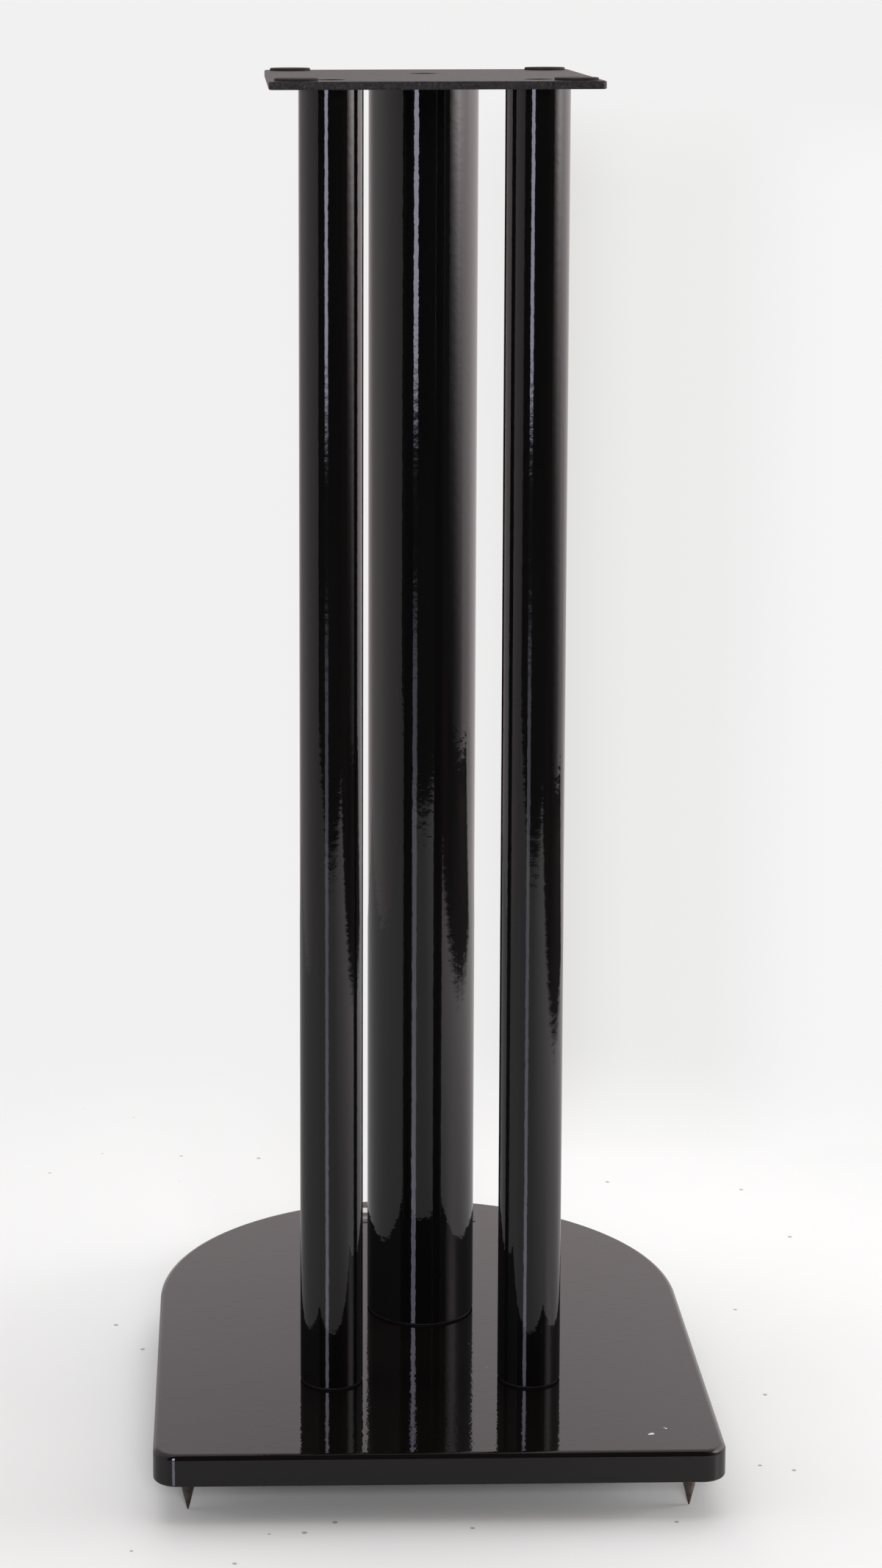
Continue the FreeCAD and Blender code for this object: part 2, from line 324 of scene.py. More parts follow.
def setWalls():
    # upright walls, as bright as the table says for the bearing and the height
    made, tree, place = newTreeFor("roomWalls")
    share = bearingShare(tree, place)
    height = put(tree, "ShaderNodeSeparateXYZ", {0: place})["Z"]
    up = put(tree, "ShaderNodeMapRange", {0: height, 1: walls["upFrom"], 2: walls["upTo"]})[0]
    down = put(tree, "ShaderNodeMath", {0: 1.0, 1: up}, operation="SUBTRACT")[0]
    most = walls["most"]
    upper, lower, left = (withStops(put(tree, "ShaderNodeValToRGB", {"Fac": share})["Color"],
                                    [(aroundShare(row[0]), grey(row[k] / scale)) for row in walls["levels"]])
                          for k, scale in ((1, most), (2, most), (3, 1.0)))
    upperPart = put(tree, "ShaderNodeMath", {0: upper, 1: up}, operation="POWER")[0]
    lowerPart = put(tree, "ShaderNodeMath", {0: lower, 1: down}, operation="POWER")[0]
    mixed = put(tree, "ShaderNodeMath", {0: upperPart, 1: lowerPart}, operation="MULTIPLY")[0]
    once = put(tree, "ShaderNodeMath", {0: mixed, 1: most}, operation="MULTIPLY")[0]
    twice = put(tree, "ShaderNodeMath", {0: once, 1: left}, operation="MULTIPLY")[0]
    depth = put(tree, "ShaderNodeLightPath")["Glossy Depth"]
    isTwice = put(tree, "ShaderNodeMath", {0: depth, 1: 1.5}, operation="GREATER_THAN")[0]
    strength = put(tree, "ShaderNodeMix", {"Factor": isTwice, 2: once, 3: twice})[0]
    corners = [(x, y, z) for x, y in walls["plan"] for z in (0.0, walls["high"])]
    stageCard(made, tree, corners, walls["tone"], strength)


def setLamps():
    for name, (place, side, watts) in lamps.items():
        data = bpy.data.lights.new(name, "AREA")
        data.shape, data.size, data.energy = "SQUARE", side, watts
        made = newObject(name, data)
        made.location = place
        made.rotation_euler = (Vector(lampTarget) - Vector(place)).to_track_quat("-Z", "Y").to_euler()
        made.visible_glossy = False


def setFloor():
    half = paper["half"]
    corners = [(-half, -half, 0), (half, -half, 0), (half, half, 0), (-half, half, 0)]
    floor = newObject("floor", plainMesh("floor", corners, [(0, 1, 2, 3)]))
    floor.data.materials.append(floorMaterial())


setFloor()
setRoom()
setSlitWindow()
setWalls()
setLamps()
print("studio set:", len(lamps), "lamps")


def newMaterial(name, surface, **patterns):
    # a principled surface and its noise patterns: the size of a cell in metres, detail, roughness, and a
    # stretch for some
    made, tree, place = newTreeFor(name)
    shader = put(tree, "ShaderNodeBsdfPrincipled", surface)[0]
    put(tree, "ShaderNodeOutputMaterial", {"Surface": shader})
    noise = {}
    for key, (size, detail, rough, *stretch) in patterns.items():
        at = put(tree, "ShaderNodeMapping", {"Vector": place, "Scale": stretch[0]})[0] if stretch else place
        noise[key] = put(tree, "ShaderNodeTexNoise", {"Vector": at, "Scale": 1 / size, "Detail": detail,
                                                      "Roughness": rough})[0]
    return made, tree, shader.node, place, noise


def vary(tree, shader, inputName, pattern, low, high):
    # a pattern carries an input from low to high, two values or two colours
    ends = {} if isinstance(low, str) else {3: low, 4: high}
    share = put(tree, "ShaderNodeMapRange", {0: pattern, 1: 0.3, 2: 0.7, **ends})[0]
    if not ends:
        share = put(tree, "ShaderNodeMix", {"Factor": share, 6: rgb(low), 7: rgb(high)}, data_type="RGBA")[2]
    tree.links.new(share, shader.inputs[inputName])


def lift(tree, shader, layers):
    # stacks bump layers of (height, depth in metres, strength)
    normal = None
    for height, depth, strength in layers:
        sockets = {"Height": height, "Distance": depth, "Strength": strength}
        if normal:
            sockets["Normal"] = normal
        normal = put(tree, "ShaderNodeBump", sockets)[0]
    tree.links.new(normal, shader.inputs["Normal"])


def glossEnamel():
    # steel tube, sprayed and baked black enamel: a mirror with the faint ripple that frays highlights
    made, tree, shader, _, noise = newMaterial(
        "glossBlackEnamel", {"Base Color": rgb("#0a0a0a"), "IOR": 1.5},
        ripple=(4.5 * mm, 2.0, 0.5), swell=(22 * mm, 1.0, 0.5, (1, 1, 0.4)), haze=(60 * mm, 3.0, 0.5))
    vary(tree, shader, "Roughness", noise["haze"], 0.03, 0.07)
    lift(tree, shader, [(noise["swell"], 0.10 * mm, 0.5), (noise["ripple"], 0.08 * mm, 0.7)])
    return made


# Chips and dust in the board's lacquer: place in plan and radius, in millimetres
lacquerSpecks = [((105.9, -152.8), 1.3), ((104.6, -153.4), 0.9), ((113.6, -146.8), 0.7),
                 ((112.8, -145.6), 0.4), ((25.0, 138.0), 0.4), ((23.0, -40.0), 0.22), ((41.0, -58.0), 0.22),
                 ((30.0, -70.0), 0.25)]
boardTop = 35 * mm


def pianoLacquer():
    # fibreboard under polished black lacquer: a flatter mirror, with a few dust nibs and paint specks
    made, tree, shader, place, noise = newMaterial(
        "polishedBlackLacquer", {"IOR": 1.5}, haze=(45 * mm, 3.0, 0.5), fine=(1.6 * mm, 1.0, 0.5),
        ripple=(5 * mm, 1.0, 0.5), swell=(30 * mm, 1.0, 0.5))
    mask = None
    for (x, y), radius in lacquerSpecks:
        away = put(tree, "ShaderNodeVectorMath", {0: place, 1: (x * mm, y * mm, boardTop)},
                   operation="DISTANCE")["Value"]
        dot = put(tree, "ShaderNodeMapRange", {0: away, 1: radius * mm, 2: radius * 0.6 * mm})[0]
        mask = dot if mask is None else put(tree, "ShaderNodeMath", {0: mask, 1: dot}, operation="MAXIMUM")[0]
    tone = put(tree, "ShaderNodeMix", {"Factor": mask, 6: rgb("#0e0b0b"), 7: rgb("#d8d5cf")},
               data_type="RGBA")[2]
    tree.links.new(tone, shader.inputs["Base Color"])
    vary(tree, shader, "Roughness", noise["haze"], 0.015, 0.045)
    lift(tree, shader, [(noise["swell"], 0.08 * mm, 0.5), (noise["ripple"], 0.04 * mm, 0.6),
                        (noise["fine"], 0.03 * mm, 0.6)])
    return made


def texturedPowder():
    # steel plate, fine-textured polyester powder coat: dark grey, dull, with a sandy glitter at a low angle.
    # The real grain of about 0.4 mm is drawn at 1.3 mm, so that it shows
    made, tree, shader, _, noise = newMaterial(
        "fineTexturePowderCoat", {"IOR": 1.5, "Specular IOR Level": 0.25},
        pits=(1.3 * mm, 3.0, 0.6), fine=(0.6 * mm, 2.0, 0.6))
    vary(tree, shader, "Base Color", noise["pits"], "#0b0a0a", "#302c2c")
    vary(tree, shader, "Roughness", noise["fine"], 0.34, 0.5)
    lift(tree, shader, [(noise["pits"], 0.5 * mm, 0.9), (noise["fine"], 0.15 * mm, 0.6)])
    return made


def moldedRubber(name, light, dark, roughness):
    # moulded black rubber: dull, a little dusty, with a fine skin
    made, tree, shader, _, noise = newMaterial(
        name, {"IOR": 1.5, "Specular IOR Level": 0.3}, skin=(0.9 * mm, 3.0, 0.5), dusty=(7 * mm, 3.0, 0.6))
    vary(tree, shader, "Base Color", noise["dusty"], dark, light)
    vary(tree, shader, "Roughness", noise["skin"], roughness - 0.08, roughness + 0.1)
    lift(tree, shader, [(noise["skin"], 0.05 * mm, 0.5)])
    return made


def turnedMetal(name, light, dark, low, high, line=0.25 * mm, stretch=(0.05, 0.05, 1), edge="#ffffff"):
    # steel or brass from a lathe: fine rings round the piece that break up its gloss; edge is its tone at a
    # low angle, darker where a layer of oxide covers it
    made, tree, shader, _, noise = newMaterial(
        name, {"Metallic": 1.0, "Specular Tint": rgb(edge)},
        rings=(line, 2.0, 0.6, stretch), stain=(5 * mm, 3.0, 0.6))
    vary(tree, shader, "Base Color", noise["stain"], light, dark)
    vary(tree, shader, "Roughness", noise["rings"], low, high)
    lift(tree, shader, [(noise["rings"], 0.02 * mm, 0.5)])
    return made


# The label's film: where it lies in depth, the half width inside its border, and its bars from front to back
label = {"front": 136 * mm, "back": 164 * mm, "printed": 35.5 * mm, "ground": "#191716",
         "wear": 0.12,
         "bars": [(0.0, "#191716"), (0.18, "#6b6866"), (0.33, "#191716"), (0.46, "#191716"),
                  (0.54, "#cfccc8"), (0.82, "#191716")]}


def barLabel():
    # thin printed film, satin: dark ground with plain light bars across its width
    made, tree, shader, place, noise = newMaterial("satinBarFilm", {"IOR": 1.5, "Roughness": 0.38},
                                                   ink=(2.0 * mm, 2.0, 0.5))
    split = put(tree, "ShaderNodeSeparateXYZ", {0: place})
    depth = put(tree, "ShaderNodeMapRange", {0: split["Y"], 1: label["front"], 2: label["back"]})[0]
    bars = withStops(put(tree, "ShaderNodeValToRGB", {"Fac": depth})["Color"],
                     [(position, rgb(tone)) for position, tone in label["bars"]], "CONSTANT")
    rim = put(tree, "ShaderNodeMath", {0: split["X"]}, operation="ABSOLUTE")[0]
    border = put(tree, "ShaderNodeMath", {0: rim, 1: label["printed"]}, operation="GREATER_THAN")[0]
    worn = put(tree, "ShaderNodeMix", {"Factor": label["wear"], 6: bars, 7: noise["ink"]}, data_type="RGBA",
               blend_type="MULTIPLY")[2]
    tone = put(tree, "ShaderNodeMix", {"Factor": border, 6: worn, 7: rgb(label["ground"])},
               data_type="RGBA")[2]
    tree.links.new(tone, shader.inputs["Base Color"])
    lift(tree, shader, [(noise["ink"], 0.01 * mm, 0.4)])
    return made


# one finish for each material slot of the record
finish = {
    "column_enamel": glossEnamel(),
    "base_lacquer": pianoLacquer(),
    "plate_powder_coat": texturedPowder(),
    "pad_rubber": moldedRubber("softPadRubber", "#2e2522", "#1d1715", 0.68),
    "gasket_rubber": moldedRubber("gasketRubber", "#1a1918", "#0f0e0e", 0.6),
    "label_foil": barLabel(),
    "screw_black_oxide": turnedMetal("oiledBlackOxideSteel", "#1f1d1c", "#161514", 0.5, 0.65, edge="#3a3634"),
    "spike_steel": turnedMetal("turnedBlackOxideSteel", "#7d756f", "#5c554f", 0.22, 0.38),
    "nut_steel": turnedMetal("blackOxideNutSteel", "#413f3d", "#2d2b2a", 0.3, 0.45, 0.4 * mm, (1, 1, 0.1)),
    "fastener_zinc": turnedMetal("brightZincPlate", "#c9cbcf", "#aeb1b8", 0.2, 0.34),
    "plug_steel": turnedMetal("oiledTurnedSteel", "#9a9a9c", "#828285", 0.25, 0.4),
    "insert_brass": turnedMetal("machinedBrass", "#d9b878", "#c09a58", 0.2, 0.36),
}
for node in nodes.values():
    for held in node.material_slots:
        held.material = finish[held.material.name]
print("finishes made:", len(finish))


def profileNormals(run):
    # (radius, height) points with a normal at each, weighted by the length on either side
    sides = [(z1 - z0, r0 - r1) for (r0, z0), (r1, z1) in zip(run, run[1:])]
    line = []
    for i, point in enumerate(run):
        near = sides[max(i - 1, 0):i + 1]
        nr, nz = sum(s[0] for s in near), sum(s[1] for s in near)
        size = math.hypot(nr, nz)
        line.append((point, (nr / size, nz / size)))
    return line


def turnedFaces(runs, centre, segments):
    # each run is smooth in itself and meets the next at a sharp edge; a run going down faces the axis
    turns = [2 * math.pi * k / segments for k in range(segments)] + [0.0]
    faces = []
    for line in map(profileNormals, runs):
        rings = [[((centre[0] + r * math.cos(t), centre[1] + r * math.sin(t), z),
                   (nr * math.cos(t), nr * math.sin(t), nz)) for t in turns] for (r, z), (nr, nz) in line]
        for low, high in zip(rings, rings[1:]):
            faces += [[low[k], low[k + 1], high[k + 1], high[k]] for k in range(segments)]
    return faces


def bend(centreR, centreZ, radius, fromDegrees, toDegrees, steps):
    # an arc in a turned piece's profile
    turns = [math.radians(fromDegrees + (toDegrees - fromDegrees) * i / steps) for i in range(steps + 1)]
    return [(centreR + radius * math.cos(t), centreZ + radius * math.sin(t)) for t in turns]


def pieceOfFaces(name, faces):
    # faces are lists of (point, normal); points in one place become one vertex
    index, polygons, normals = {}, [], []
    for face in faces:
        corners = [(tuple(round(c, 7) for c in point), normal) for point, normal in face]
        kept = [corner for i, corner in enumerate(corners) if corner[0] not in [c[0] for c in corners[:i]]]
        if len(kept) > 2:
            polygons.append([index.setdefault(point, len(index)) for point, _ in kept])
            normals += [normal for _, normal in kept]
    mesh = plainMesh(name, index, polygons)
    mesh.shade_smooth()
    mesh.normals_split_custom_set(normals)
    return newObject(name, mesh)


def slabFaces(outline, section, topHoles, bottomHoles, segments):
    # a board: its outline swept up the section of its edge, closed by two flat faces with round holes
    faces = []
    loops = []
    for (inset, z), (nOut, nUp) in section:
        loops.append([((x - nx * inset, y - ny * inset, z), (nx * nOut, ny * nOut, nUp))
                      for x, y, nx, ny in outline])
    for low, high in zip(loops, loops[1:]):
        for k in range(len(outline)):
            n = (k + 1) % len(outline)
            faces.append([low[k], low[n], high[n], high[k]])
    for loop, holes, up in ((loops[-1], topHoles, 1), (loops[0], bottomHoles, -1)):
        z = loop[0][0][2]
        rings = [[Vector(point) for point, _ in loop]]
        for (x, y), radius in holes:
            turns = [2 * math.pi * k / segments for k in range(segments)]
            rings.append([Vector((x + radius * math.cos(t), y + radius * math.sin(t), z)) for t in turns])
        flat = [point for ring in rings for point in ring]
        for triangle in tessellate_polygon(rings):
            a, b, c = (flat[i] for i in triangle)
            order = (a, b, c) if (b - a).cross(c - a).z * up > 0 else (a, c, b)
            faces.append([(tuple(point), (0, 0, up)) for point in order])
    return faces


def edgeSection(bottom, top, bottomRound, topRound, steps):
    # (inset, height) and outward normal up the edge of a board, from its lower flat to its upper flat
    made = []
    for i in range(steps + 1):
        t = math.radians(-90 + 90 * i / steps)
        made.append(((bottomRound * (1 - math.cos(t)), bottom + bottomRound * (1 + math.sin(t))),
                     (math.cos(t), math.sin(t))))
    for i in range(steps + 1):
        t = math.radians(90 * i / steps)
        made.append(((topRound * (1 - math.cos(t)), top - topRound * (1 - math.sin(t))),
                     (math.cos(t), math.sin(t))))
    return made


def arcOutline(centre, radius, fromDegrees, toDegrees, steps):
    # an arc in plan, each point with its outward normal
    turns = [math.radians(fromDegrees + (toDegrees - fromDegrees) * i / steps) for i in range(steps + 1)]
    return [(centre[0] + radius * math.cos(t), centre[1] + radius * math.sin(t), math.cos(t), math.sin(t))
            for t in turns]


def dress(piece, body, slotName, *nodeNames):
    # a finished piece gets its finish, rides on its body and stands for its CAD nodes
    piece.data.materials.clear()
    piece.data.materials.append(finish[slotName])
    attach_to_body(piece, body)
    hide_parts(*nodeNames)


columnCentres = [boxOf("column_" + place)[:2] for place in columnPlaces]

# Base board: straight front and sides, half-round back; holes are (radius, depth)
board = {"cornerRadius": 12 * mm, "topEdge": 3 * mm, "bottomEdge": 1 * mm, "boltHole": 4.2 * mm,
         "counterbore": (12.5 * mm, 8 * mm), "socket": (6.05 * mm, 12 * mm),
         "backSteps": 180, "cornerSteps": 14, "edgeSteps": 8, "holeSides": 64}


def makeBoard():
    low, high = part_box("base_board")
    half, corner, steps = high.x, board["cornerRadius"], board["cornerSteps"]
    outline = arcOutline((half - corner, low.y + corner), corner, -90, 0, steps)
    outline += arcOutline((0, high.y - half), half, 0, 180, board["backSteps"])
    outline += arcOutline((corner - half, low.y + corner), corner, 180, 270, steps)
    section = edgeSection(low.z, high.z, board["bottomEdge"], board["topEdge"], board["edgeSteps"])
    narrow, sides = board["boltHole"], board["holeSides"]
    wide, deep = board["counterbore"]
    socketRadius, socketDepth = board["socket"]
    sockets = [boxOf("spike_insert_" + place)[:2] for place in cornerPlaces]
    faces = slabFaces(outline, section, [(c, narrow) for c in columnCentres],
                      [(c, wide) for c in columnCentres] + [(c, socketRadius) for c in sockets], sides)
    roof = low.z + deep
    for centre in columnCentres:
        faces += turnedFaces([[(narrow, high.z), (narrow, roof)], [(narrow, roof), (wide, roof)],
                              [(wide, roof), (wide, low.z)]], centre, sides)
    roof = low.z + socketDepth
    for centre in sockets:
        faces += turnedFaces([[(0, roof), (socketRadius, roof)],
                              [(socketRadius, roof), (socketRadius, low.z)]], centre, sides)
    dress(pieceOfFaces("lacquered_board", faces), "frame", "base_lacquer", "base_board")


makeBoard()

# Top plate with three countersunk holes
plate = {"cornerRadius": 3 * mm, "edge": 0.8 * mm, "screwHole": 4.2 * mm, "countersink": 7.2 * mm,
         "cornerSteps": 10, "edgeSteps": 6, "holeSides": 64}


def makePlate():
    low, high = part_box("top_plate")
    corner, edge, sides = plate["cornerRadius"], plate["edge"], plate["holeSides"]
    outline = []
    for x, y, start in ((high.x - corner, low.y + corner, -90), (high.x - corner, high.y - corner, 0),
                        (low.x + corner, high.y - corner, 90), (low.x + corner, low.y + corner, 180)):
        outline += arcOutline((x, y), corner, start, start + 90, plate["cornerSteps"])
    section = edgeSection(low.z, high.z, edge, edge, plate["edgeSteps"])
    narrow, wide = plate["screwHole"], plate["countersink"]
    faces = slabFaces(outline, section, [(c, wide) for c in columnCentres],
                      [(c, narrow) for c in columnCentres], sides)
    neck = high.z - (wide - narrow)
    for centre in columnCentres:
        faces += turnedFaces([[(wide, high.z), (narrow, neck)], [(narrow, neck), (narrow, low.z)]],
                             centre, sides)
    dress(pieceOfFaces("powder_coated_plate", faces), "frame", "plate_powder_coat", "top_plate")


makePlate()
print("board and plate made")

# Shapes of rings and fasteners: how finely their rounds are drawn, the angle in degrees from which an edge is
# sharp, the radius of a hexagon's turned face as a share of its flats and its chamfer in degrees, a thread's
# depth as a share of its pitch, and the lip of a screw's head
drawn = {"ringSides": 192, "lipSteps": 4, "hexagonSides": 60, "boreSides": 48, "threadSteps": 28,
         "coreSides": 48, "headSides": 72, "shankSides": 48, "sharpFrom": 32, "turnedFace": 0.48,
         "chamfer": 30, "threadDepth": 0.40, "headLip": 0.12 * mm}
flatsToRadius = 1 / math.sqrt(3)


def newTree(name, inputs):
    # a tree whose first input is the set of points where its shape is placed
    tree = bpy.data.node_groups.new(name, "GeometryNodeTree")
    tree.interface.new_socket("Points", in_out="INPUT", socket_type="NodeSocketGeometry")
    for inputName in inputs:
        kind = "NodeSocketMaterial" if inputName == "Finish" else "NodeSocketFloat"
        tree.interface.new_socket(inputName, in_out="INPUT", socket_type=kind)
    tree.interface.new_socket("Mesh", in_out="OUTPUT", socket_type="NodeSocketGeometry")
    return tree, put(tree, "NodeGroupInput")


def closeTree(tree, given, shape):
    placed = put(tree, "GeometryNodeInstanceOnPoints", {"Points": given["Points"], "Instance": shape})[0]
    solid = put(tree, "GeometryNodeRealizeInstances", {"Geometry": placed})[0]
    painted = put(tree, "GeometryNodeSetMaterial", {"Geometry": solid, "Material": given["Finish"]})[0]
    put(tree, "NodeGroupOutput", {"Mesh": painted})
    return tree


def raised(tree, geometry, height):
    # moves a shape up
    offset = put(tree, "ShaderNodeCombineXYZ", {"Z": height})[0]
    return put(tree, "GeometryNodeTransform", {"Geometry": geometry, "Translation": offset})[0]


def ringTree():
    # a rounded rectangle swept round a circle: tubes, washers and gaskets
    tree, given = newTree("roundedRing", ("Radius", "Wall", "Height", "Lip", "Finish"))
    halfWall = put(tree, "ShaderNodeMath", {0: given["Wall"], 1: 0.5}, operation="MULTIPLY")[0]
    middle = put(tree, "ShaderNodeMath", {0: given["Radius"], 1: halfWall}, operation="SUBTRACT")[0]
    half = put(tree, "ShaderNodeMath", {0: given["Height"], 1: 0.5}, operation="MULTIPLY")[0]
    path = put(tree, "GeometryNodeCurvePrimitiveCircle", {"Resolution": drawn["ringSides"], "Radius": middle},
               mode="RADIUS")[0]
    sheet = put(tree, "GeometryNodeCurvePrimitiveQuadrilateral",
                {"Width": given["Wall"], "Height": given["Height"]}, mode="RECTANGLE")[0]
    soft = put(tree, "GeometryNodeFilletCurve", {"Curve": sheet, "Count": drawn["lipSteps"],
                                                 "Radius": given["Lip"], "Limit Radius": True},
               mode="POLY")[0]
    swept = put(tree, "GeometryNodeCurveToMesh", {"Curve": path, "Profile Curve": soft})[0]
    return closeTree(tree, given, raised(tree, swept, half))


def hexTree():
    # a hexagonal bar with its corners turned off at both ends, bored through where Bore isn't zero
    tree, given = newTree("chamferedHexagon", ("Flats", "Height", "Bore", "Finish"))
    corner = put(tree, "ShaderNodeMath", {0: given["Flats"], 1: flatsToRadius}, operation="MULTIPLY")[0]
    face = put(tree, "ShaderNodeMath", {0: given["Flats"], 1: drawn["turnedFace"]}, operation="MULTIPLY")[0]
    width = put(tree, "ShaderNodeMath", {0: corner, 1: face}, operation="SUBTRACT")[0]
    fall = math.tan(math.radians(drawn["chamfer"]))
    slope = put(tree, "ShaderNodeMath", {0: width, 1: fall}, operation="MULTIPLY")[0]
    half = put(tree, "ShaderNodeMath", {0: given["Height"], 1: 0.5}, operation="MULTIPLY")[0]
    shoulder = put(tree, "ShaderNodeMath", {0: half, 1: slope}, operation="SUBTRACT")[0]
    bar = put(tree, "GeometryNodeMeshCylinder", {"Vertices": 6, "Radius": corner,
                                                 "Depth": given["Height"]})["Mesh"]
    rings = []
    for radius, height in ((face, half), (corner, shoulder)):
        for sign in (1.0, -1.0):
            ring = put(tree, "GeometryNodeMeshCircle", {"Vertices": drawn["hexagonSides"],
                                                        "Radius": radius})[0]
            level = put(tree, "ShaderNodeMath", {0: height, 1: sign}, operation="MULTIPLY")[0]
            rings.append(raised(tree, ring, level))
    outline = put(tree, "GeometryNodeJoinGeometry", {0: rings})[0]
    barrel = put(tree, "GeometryNodeConvexHull", {0: outline})[0]
    turned = put(tree, "GeometryNodeMeshBoolean", {"Mesh 2": [bar, barrel]}, operation="INTERSECT")[0]
    length = put(tree, "ShaderNodeMath", {0: given["Height"], 1: 3.0}, operation="MULTIPLY")[0]
    drill = put(tree, "GeometryNodeMeshCylinder", {"Vertices": drawn["boreSides"], "Radius": given["Bore"],
                                                   "Depth": length})["Mesh"]
    bored = put(tree, "GeometryNodeMeshBoolean", {"Mesh 1": turned, "Mesh 2": drill},
                operation="DIFFERENCE")[0]
    isBored = put(tree, "FunctionNodeCompare", {0: given["Bore"], 1: 0.1 * mm}, operation="GREATER_THAN")[0]
    chosen = put(tree, "GeometryNodeSwitch", {"Switch": isBored, "False": turned, "True": bored},
                 input_type="GEOMETRY")[0]
    return closeTree(tree, given, raised(tree, chosen, half))


def threadTree():
    # a threaded shank: a V ridge wound round a core
    tree, given = newTree("threadedShank", ("Radius", "Pitch", "Height", "Finish"))
    depth = put(tree, "ShaderNodeMath", {0: given["Pitch"], 1: drawn["threadDepth"]}, operation="MULTIPLY")[0]
    run = put(tree, "ShaderNodeMath", {0: given["Height"], 1: given["Pitch"]}, operation="SUBTRACT")[0]
    turns = put(tree, "ShaderNodeMath", {0: run, 1: given["Pitch"]}, operation="DIVIDE")[0]
    wind = put(tree, "ShaderNodeMath", {0: given["Radius"], 1: depth}, operation="SUBTRACT")[0]
    helix = put(tree, "GeometryNodeCurveSpiral", {"Resolution": drawn["threadSteps"], "Rotations": turns,
                                                  "Start Radius": wind, "End Radius": wind, "Height": run})[0]
    upright = put(tree, "GeometryNodeSetCurveNormal", {"Curve": helix}, mode="Z_UP")[0]
    ridge = put(tree, "GeometryNodeCurvePrimitiveCircle", {"Resolution": 4, "Radius": depth},
                mode="RADIUS")[0]
    wound = put(tree, "GeometryNodeCurveToMesh", {"Curve": upright, "Profile Curve": ridge,
                                                  "Fill Caps": True})[0]
    halfPitch = put(tree, "ShaderNodeMath", {0: given["Pitch"], 1: 0.5}, operation="MULTIPLY")[0]
    half = put(tree, "ShaderNodeMath", {0: given["Height"], 1: 0.5}, operation="MULTIPLY")[0]
    core = put(tree, "GeometryNodeMeshCylinder", {"Vertices": drawn["coreSides"], "Radius": wind,
                                                  "Depth": given["Height"]})["Mesh"]
    parts = [raised(tree, wound, halfPitch), raised(tree, core, half)]
    return closeTree(tree, given, put(tree, "GeometryNodeJoinGeometry", {0: parts})[0])


def socketScrewTree():
    # a countersunk head with a hexagonal socket, on a plain shank
    tree, given = newTree("countersunkScrew", ("Head", "Shank", "Length", "Socket", "Depth", "Finish"))
    lip = drawn["headLip"]
    cone = put(tree, "ShaderNodeMath", {0: given["Head"], 1: given["Shank"]}, operation="SUBTRACT")[0]
    neck = put(tree, "ShaderNodeMath", {0: cone, 1: -1.0}, operation="MULTIPLY")[0]
    face = put(tree, "ShaderNodeMath", {0: given["Head"], 1: lip}, operation="SUBTRACT")[0]
    rings = []
    for radius, height in ((face, 0.0), (given["Head"], -lip), (given["Shank"], neck)):
        ring = put(tree, "GeometryNodeMeshCircle", {"Vertices": drawn["headSides"], "Radius": radius})[0]
        rings.append(raised(tree, ring, height))
    outline = put(tree, "GeometryNodeJoinGeometry", {0: rings})[0]
    head = put(tree, "GeometryNodeConvexHull", {0: outline})[0]
    keyRadius = put(tree, "ShaderNodeMath", {0: given["Socket"], 1: flatsToRadius}, operation="MULTIPLY")[0]
    keyLength = put(tree, "ShaderNodeMath", {0: given["Depth"], 1: 2.0}, operation="MULTIPLY")[0]
    key = put(tree, "GeometryNodeMeshCylinder", {"Vertices": 6, "Radius": keyRadius,
                                                 "Depth": keyLength})["Mesh"]
    cut = put(tree, "GeometryNodeMeshBoolean", {"Mesh 1": head, "Mesh 2": key}, operation="DIFFERENCE")[0]
    rest = put(tree, "ShaderNodeMath", {0: given["Length"], 1: cone}, operation="SUBTRACT")[0]
    shank = put(tree, "GeometryNodeMeshCylinder", {"Vertices": drawn["shankSides"], "Radius": given["Shank"],
                                                   "Depth": rest})["Mesh"]
    halfRest = put(tree, "ShaderNodeMath", {0: rest, 1: 0.5}, operation="MULTIPLY")[0]
    depth = put(tree, "ShaderNodeMath", {0: cone, 1: halfRest}, operation="ADD")[0]
    drop = put(tree, "ShaderNodeMath", {0: depth, 1: -1.0}, operation="MULTIPLY")[0]
    parts = [cut, raised(tree, shank, drop)]
    return closeTree(tree, given, put(tree, "GeometryNodeJoinGeometry", {0: parts})[0])


trees = {"ring": ringTree(), "hexagon": hexTree(), "thread": threadTree(), "socketScrew": socketScrewTree()}


def evaluated(piece):
    bpy.context.view_layer.update()
    return bpy.data.meshes.new_from_object(piece.evaluated_get(bpy.context.evaluated_depsgraph_get()))


def grow(name, treeName, points, slotName, **values):
    # runs a tree over its points and keeps the result as a plain mesh with true flats and smooth rounds
    tree = trees[treeName]
    piece = newObject(name, plainMesh(name, points))
    modifier = piece.modifiers.new("build", "NODES")
    modifier.node_group = tree
    values["Finish"] = finish[slotName]
    for item in tree.interface.items_tree:
        if item.in_out == "INPUT" and item.name in values:
            modifier[item.identifier] = values[item.name]
    mesh = evaluated(piece)
    piece.modifiers.clear()
    mesh.shade_smooth()
    mesh.set_sharp_from_angle(angle=math.radians(drawn["sharpFrom"]))
    piece.data = mesh
    piece.modifiers.new("flats", "WEIGHTED_NORMAL").keep_sharp = True
    mesh = evaluated(piece)
    piece.modifiers.clear()
    piece.data = mesh
    mesh.name = name
    return piece


def attach(first, *others):
    # joins pieces into the first one
    bpy.ops.object.select_all(action="DESELECT")
    for piece in (first, *others):
        piece.select_set(True)
    bpy.context.view_layer.objects.active = first
    bpy.ops.object.join()
    return first


# Columns: steel tubes with softly rounded lips, on rubber gaskets
column = {"slimWall": 1.5 * mm, "stoutWall": 2.0 * mm, "lip": 0.35 * mm}
gasket = {"bore": 4.2 * mm, "lip": 0.3 * mm}


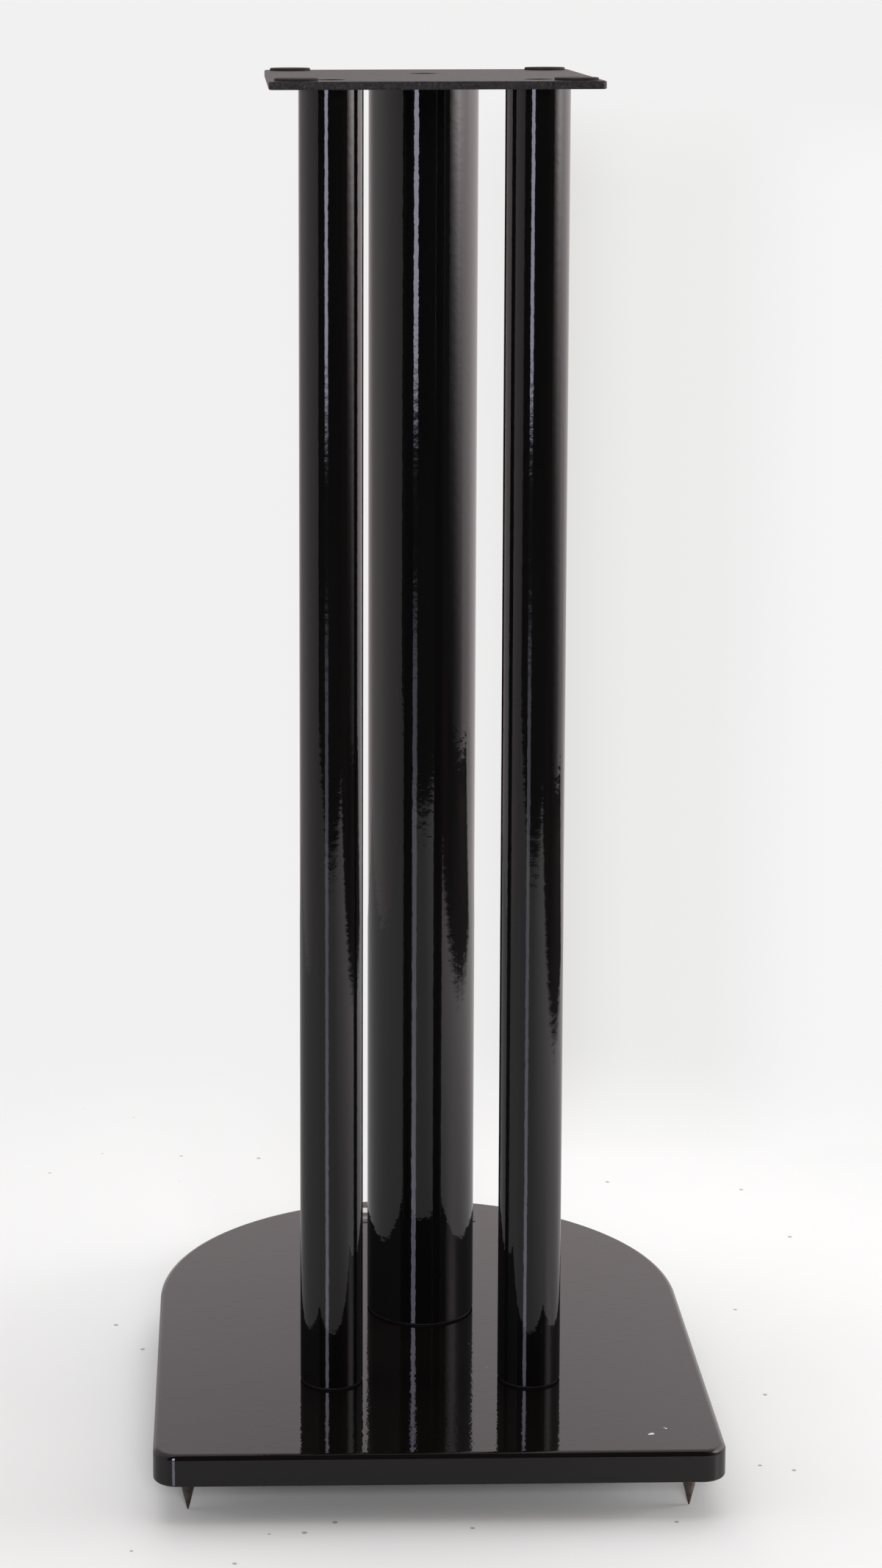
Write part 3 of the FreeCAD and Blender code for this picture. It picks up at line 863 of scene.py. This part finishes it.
def makeColumns():
    for place in columnPlaces:
        x, y, radius, foot, top = boxOf("column_" + place)
        wall = column["stoutWall"] if place == "rear" else column["slimWall"]
        tube = grow("tube_" + place, "ring", [(x, y, foot)], "column_enamel", Radius=radius, Wall=wall,
                    Height=top - foot, Lip=column["lip"])
        dress(tube, "frame", "column_enamel", "column_" + place)
        x, y, radius, foot, top = boxOf("foot_gasket_" + place)
        disc = grow("gasket_" + place, "ring", [(x, y, foot)], "gasket_rubber", Radius=radius,
                    Wall=radius - gasket["bore"], Height=top - foot, Lip=gasket["lip"])
        dress(disc, "frame", "gasket_rubber", "foot_gasket_" + place)


makeColumns()
print("columns made")

# Fasteners: screws in the plate, bolts with washers under the board, a lock nut on each spike
screw = {"Head": 7 * mm, "Shank": 4 * mm, "Length": 16 * mm, "Socket": 5 * mm, "Depth": 2.5 * mm}
washer = {"Radius": 12 * mm, "Wall": 7.8 * mm, "Lip": 0.3 * mm}
bolt = {"flats": 13 * mm, "headHeight": 5.3 * mm, "radius": 4 * mm, "pitch": 1.25 * mm}
lockNut = {"flats": 13 * mm, "bore": 4.05 * mm}


def atColumns(height):
    return [(x, y, height) for x, y in columnCentres]


def makeFasteners():
    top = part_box("plate_screws")[1].z
    screws = grow("countersunk_screws", "socketScrew", atColumns(top), "screw_black_oxide", **screw)
    dress(screws, "frame", "screw_black_oxide", "plate_screws")
    low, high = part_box("base_washers")
    discs = grow("plate_washers", "ring", atColumns(low.z), "fastener_zinc", Height=high.z - low.z, **washer)
    dress(discs, "frame", "fastener_zinc", "base_washers")
    low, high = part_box("base_bolts")
    neck = low.z + bolt["headHeight"]
    heads = grow("hexagon_bolts", "hexagon", atColumns(low.z), "fastener_zinc", Flats=bolt["flats"],
                 Height=bolt["headHeight"], Bore=0.0)
    shanks = grow("bolt_shanks", "thread", atColumns(neck), "fastener_zinc", Radius=bolt["radius"],
                  Pitch=bolt["pitch"], Height=high.z - neck)
    dress(attach(heads, shanks), "frame", "fastener_zinc", "base_bolts")
    for place in cornerPlaces:
        low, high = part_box("lock_nut_" + place)
        x, y = (low.x + high.x) / 2, (low.y + high.y) / 2
        nut = grow("locking_nut_" + place, "hexagon", [(x, y, low.z)], "nut_steel", Flats=lockNut["flats"],
                   Height=high.z - low.z, Bore=lockNut["bore"])
        dress(nut, "frame", "nut_steel", "lock_nut_" + place)


makeFasteners()

# Spikes: a turned cone with a rounded tip under a threaded stud. The shoulder's edge is (inwards, down)
spike = {"pointLength": 15 * mm, "tipRadius": 0.24 * mm, "tipFlat": 0.16 * mm, "pitch": 1.25 * mm,
         "shoulderEdge": [(0.15 * mm, 0.55 * mm), (0.0, 0.2 * mm), (0.0, 0.0)], "sides": 64}


def makeSpikes():
    for place in cornerPlaces:
        x, y, radius, foot, top = boxOf("spike_" + place)
        shoulder = foot + spike["pointLength"]
        tip = spike["tipRadius"]
        side = [(0, foot)] + bend(spike["tipFlat"], foot + tip, tip, -90, -15, 4)
        side += [(radius - inwards, shoulder - down) for inwards, down in spike["shoulderEdge"]]
        faces = turnedFaces([side, [(radius, shoulder), (0, shoulder)]], (x, y), spike["sides"])
        point = pieceOfFaces("steel_spike_" + place, faces)
        stud = grow("stud_" + place, "thread", [(x, y, shoulder)], "spike_steel", Radius=radius,
                    Pitch=spike["pitch"], Height=top - shoulder)
        dress(attach(point, stud), "spike_" + place, "spike_steel", "spike_" + place)


makeSpikes()
print("fasteners and spikes made")

# Pads: low rubber discs with a soft edge and a barely crowned top
pad = {"edge": 0.55 * mm, "foot": 0.2 * mm, "crown": 0.05 * mm, "crownRings": (0.9, 0.7, 0.45, 0.2, 0.0),
       "sides": 96}


def makePads():
    for place in cornerPlaces:
        x, y, radius, low, high = boxOf("pad_" + place)
        edge, foot, crown = pad["edge"], pad["foot"], pad["crown"]
        side = bend(radius - foot, low + foot, foot, -90, 0, 4)
        side += bend(radius - edge, high - crown - edge, edge, 0, 90, 8)
        side += [(radius * share, high - crown * share * share) for share in pad["crownRings"]]
        faces = turnedFaces([[(0, low), (radius - foot, low)], side], (x, y), pad["sides"])
        dress(pieceOfFaces("rubber_pad_" + place, faces), "frame", "pad_rubber", "pad_" + place)


makePads()
print("pads made")
